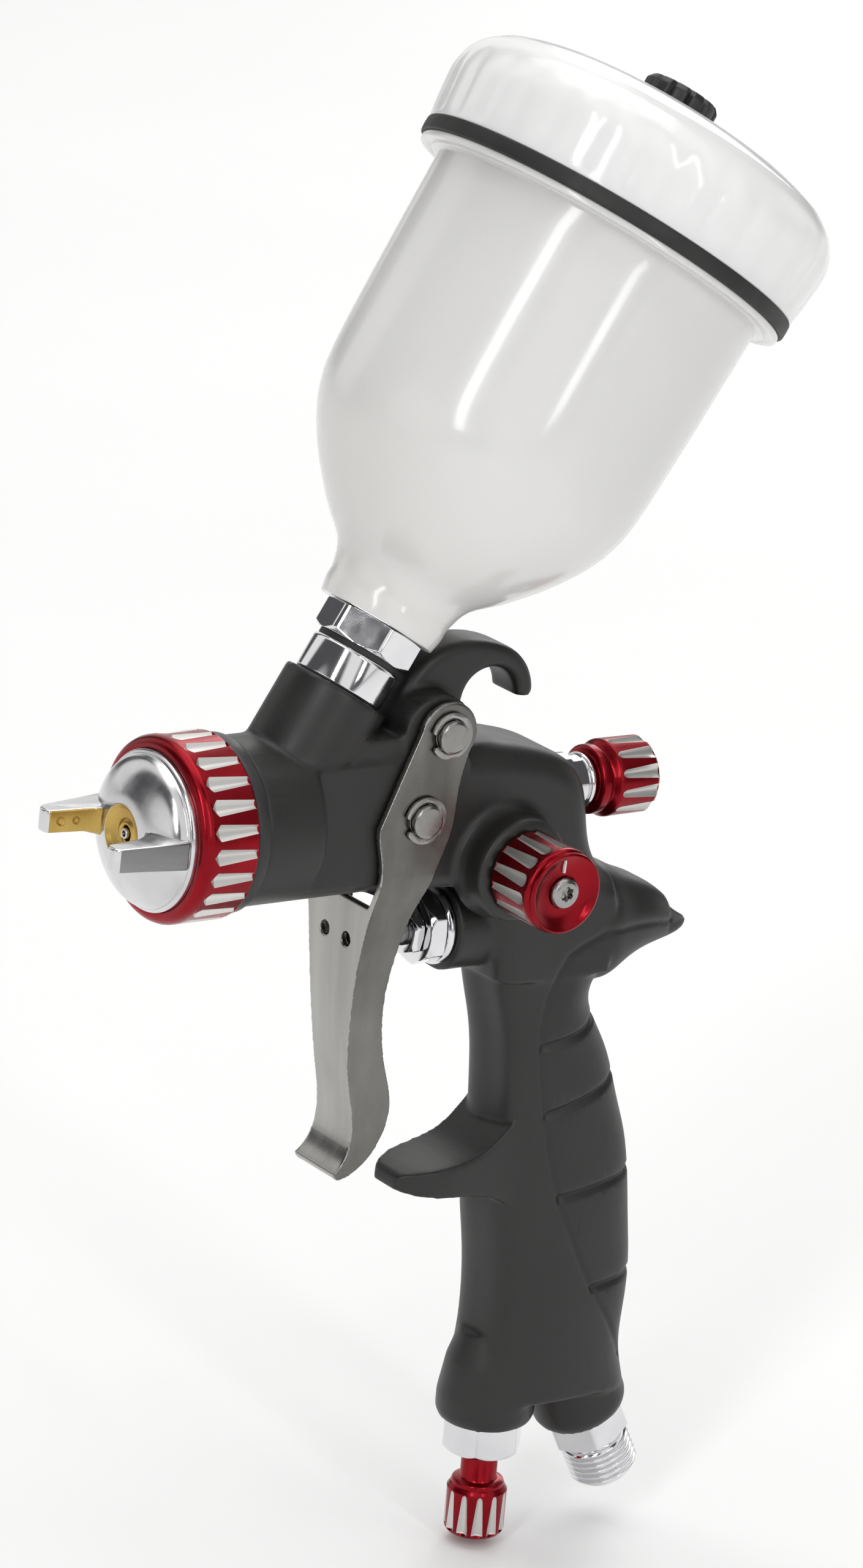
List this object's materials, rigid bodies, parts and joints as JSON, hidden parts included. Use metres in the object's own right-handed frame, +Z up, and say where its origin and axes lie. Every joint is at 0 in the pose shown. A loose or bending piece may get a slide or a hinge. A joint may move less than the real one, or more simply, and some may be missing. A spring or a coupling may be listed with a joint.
{
  "type": "gravity feed spray gun",
  "caption": "Small gravity-feed spray gun with a leaning plastic cup, pistol grip, long trigger and fluted control knobs.",
  "frame": {"origin": "centre of the open end of the air inlet thread under the handle", "axes": "+Z up with the handle down, barrel along X with the spray leaving towards -X, left side of the gun towards -Y"},
  "size_m": [0.1394, 0.0748, 0.2814],
  "materials": {
    "body_coat": "fine satin powder coat on cast aluminium",
    "cup_plastic": "milky translucent moulded plastic",
    "lid_plastic": "white moulded plastic",
    "black_rubber": "matt moulded rubber",
    "black_plastic": "matt moulded plastic",
    "chrome_plate": "bright chrome plate on brass",
    "trigger_steel": "pressed steel with a satin polish",
    "turned_steel": "turned steel",
    "spring_steel": "drawn spring wire",
    "red_anodised": "deep red anodised with bare machined flutes",
    "nickel_plate": "satin nickel plate on brass",
    "nozzle_steel": "machined stainless steel",
    "plain_brass": "machined brass"
  },
  "bodies": {
    "gun": {"gun_body": "body_coat", "socket_collar": "chrome_plate", "head_ring": "black_plastic", "air_distributor": "nickel_plate", "nozzle_gasket": "plain_brass", "fluid_nozzle": "nozzle_steel", "needle_packing": "black_plastic", "packing_screw": "plain_brass", "needle_spring": "spring_steel", "rear_sleeve": "chrome_plate", "fan_bushing": "plain_brass", "pivot_pin": "turned_steel", "pivot_clips": "turned_steel", "valve_housing": "chrome_plate", "valve_gland": "chrome_plate", "valve_spring": "spring_steel", "regulator_housing": "chrome_plate", "air_inlet": "chrome_plate"},
    "trigger": {"trigger": "trigger_steel", "drive_pins": "turned_steel", "drive_clips": "turned_steel"},
    "needle": {"fluid_needle": "turned_steel", "needle_collar": "plain_brass"},
    "air_valve": {"valve_stem": "turned_steel", "valve_seal": "black_rubber", "valve_poppet": "plain_brass"},
    "fluid_stop": {"fluid_stop": "plain_brass"},
    "fluid_knob": {"fluid_knob": "red_anodised"},
    "fan_control": {"fan_knob": "red_anodised", "fan_screw": "turned_steel", "fan_spindle": "turned_steel"},
    "regulator_valve": {"regulator_valve": "plain_brass", "regulator_ring": "black_rubber"},
    "regulator_knob": {"regulator_knob": "red_anodised"},
    "snap_ring": {"cap_snap_ring": "turned_steel"},
    "cap_ring": {"air_cap_ring": "red_anodised"},
    "air_cap": {"air_cap": "nickel_plate"},
    "cup_gasket": {"adapter_gasket": "black_rubber"},
    "cup": {"cup_adapter": "chrome_plate", "paint_filter": "black_plastic", "cup": "cup_plastic"},
    "lid_gasket": {"lid_gasket": "black_rubber"},
    "lid": {"lid": "lid_plastic", "lid_band": "black_rubber"},
    "vent_cap": {"vent_cap": "black_plastic"}
  },
  "joints": [
    {"name": "trigger_pull", "type": "hinge", "parent": "gun", "child": "trigger", "pos_m": [-0.0651, 0, 0.1544], "axis": [0, -1, 0], "range_deg": [0, 11], "stiffness_Nm_per_rad": 2, "springref_deg": -5.73},
    {"name": "needle_slide", "type": "slide", "parent": "gun", "child": "needle", "axis": [1, 0, 0], "range_m": [0, 0.0031], "deforming": ["needle_spring"]},
    {"name": "air_valve_slide", "type": "slide", "parent": "gun", "child": "air_valve", "axis": [1, 0, 0], "range_m": [0, 0.0078], "deforming": ["valve_spring"]},
    {"name": "fluid_stop_slide", "type": "slide", "parent": "gun", "child": "fluid_stop", "axis": [1, 0, 0], "range_m": [0, 0.004]},
    {"name": "fluid_knob_turn", "type": "hinge", "parent": "fluid_stop", "child": "fluid_knob", "pos_m": [-0.0177, 0, 0.1386], "axis": [1, 0, 0], "range_deg": [0, 1441]},
    {"name": "fan_knob_turn", "type": "hinge", "parent": "gun", "child": "fan_control", "pos_m": [-0.0487, -0.022, 0.129], "axis": [0, -1, 0], "range_deg": [0, 270]},
    {"name": "regulator_valve_slide", "type": "slide", "parent": "gun", "child": "regulator_valve", "axis": [0.0262, 0, -0.9997], "range_m": [0, 0.003]},
    {"name": "regulator_knob_turn", "type": "hinge", "parent": "regulator_valve", "child": "regulator_knob", "pos_m": [-0.0301, 0, 0.0033], "axis": [0.0262, 0, -0.9997], "range_deg": [0, 1081]},
    {"name": "snap_ring_slide", "type": "slide", "parent": "gun", "child": "snap_ring", "axis": [-1, 0, 0], "range_m": [0, 0.0045]},
    {"name": "cap_ring_turn", "type": "hinge", "parent": "snap_ring", "child": "cap_ring", "pos_m": [-0.1127, 0, 0.1386], "axis": [-1, 0, 0], "range_deg": [0, 1081]},
    {"name": "air_cap_turn", "type": "hinge", "parent": "snap_ring", "child": "air_cap", "pos_m": [-0.1177, 0, 0.1386], "axis": [-1, 0, 0], "range_deg": [-90, 90]},
    {"name": "cup_slide", "type": "slide", "parent": "gun", "child": "cup_gasket", "axis": [0.5105, 0, 0.8599], "range_m": [0, 0.0045]},
    {"name": "cup_turn", "type": "hinge", "parent": "cup_gasket", "child": "cup", "pos_m": [-0.0951, 0, 0.1386], "axis": [0.5105, 0, 0.8599], "range_deg": [0, 1081]},
    {"name": "lid_slide", "type": "slide", "parent": "cup", "child": "lid_gasket", "axis": [0.5105, 0, 0.8599], "range_m": [0, 0.012]},
    {"name": "lid_turn", "type": "hinge", "parent": "lid_gasket", "child": "lid", "pos_m": [-0.0951, 0, 0.1386], "axis": [0.5105, 0, 0.8599], "range_deg": [0, 1081]},
    {"name": "vent_cap_turn", "type": "hinge", "parent": "lid", "child": "vent_cap", "pos_m": [-0.0951, 0, 0.1386], "axis": [0.5105, 0, 0.8599], "range_deg": [0, 90]}
  ],
  "couplings": [
    {"joint": "needle_slide", "follows": "trigger_pull", "m_per_rad": 0.01536},
    {"joint": "air_valve_slide", "follows": "trigger_pull", "m_per_rad": 0.0395},
    {"joint": "fluid_knob_turn", "follows": "fluid_stop_slide", "rad_per_m": 6283.2},
    {"joint": "regulator_knob_turn", "follows": "regulator_valve_slide", "rad_per_m": 6283.2},
    {"joint": "cap_ring_turn", "follows": "snap_ring_slide", "rad_per_m": 4188.8},
    {"joint": "cup_turn", "follows": "cup_slide", "rad_per_m": 4188.8},
    {"joint": "lid_turn", "follows": "lid_slide", "rad_per_m": 1570.8}
  ]
}
